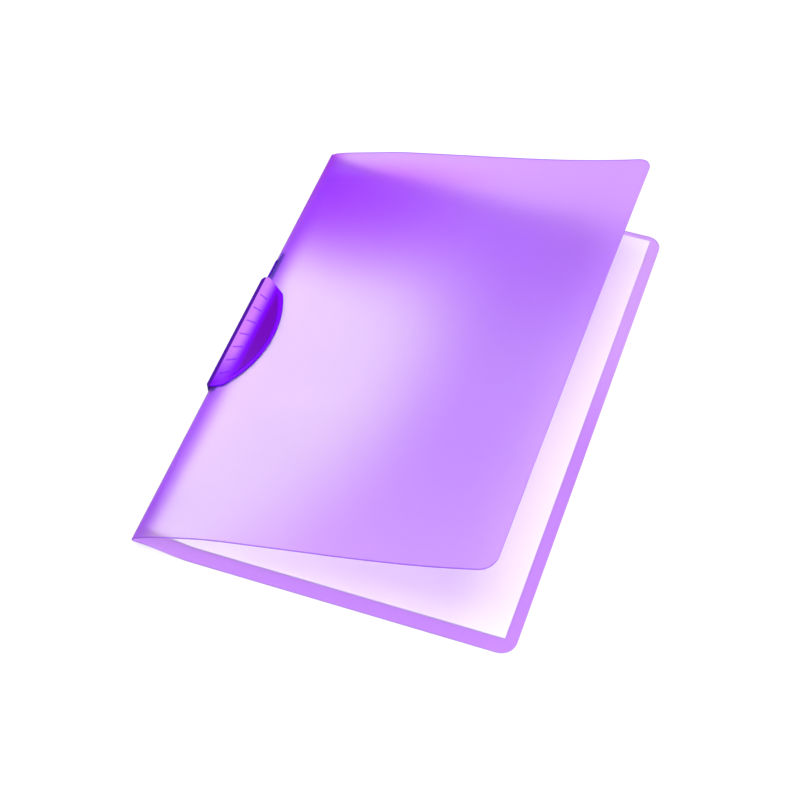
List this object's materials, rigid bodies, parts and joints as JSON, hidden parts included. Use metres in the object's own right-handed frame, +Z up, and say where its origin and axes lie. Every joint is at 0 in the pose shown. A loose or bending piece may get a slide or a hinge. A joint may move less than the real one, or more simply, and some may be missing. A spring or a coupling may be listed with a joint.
{
  "type": "clip folder",
  "caption": "Translucent violet A4 folder of one folded plastic film, lying half open, with a swing clip on its spine that pinches the covers on a thin stack of white paper.",
  "frame": {"origin": "on the table under the middle of the folder's overall width and length", "axes": "+X from the spine to the free edges, +Y along the spine towards the clip's pivot end, +Z up"},
  "size_m": [0.222, 0.3102, 0.0809],
  "materials": {
    "film": "translucent frosted film, fine matt grain",
    "clip_plastic": "glossy translucent dark violet moulding",
    "paper": "plain white office paper"
  },
  "bodies": {
    "root": {"back_cover": "film", "clip_mount": "clip_plastic", "paper": "paper"},
    "front_cover": {"front_cover": "film"},
    "clip": {"clip": "clip_plastic"}
  },
  "joints": [
    {"name": "cover_hinge", "type": "hinge", "parent": "root", "child": "front_cover", "pos_m": [-0.083, 0, 0.00725], "axis": [0, -1, 0], "range_deg": [-18.5, 130], "stiffness_Nm_per_rad": 0.1, "springref_deg": 13.75},
    {"name": "clip_pivot", "type": "hinge", "parent": "root", "child": "clip", "pos_m": [-0.1076, 0.04, 0.006], "axis": [0, 0, -1], "range_deg": [0, 105]}
  ]
}
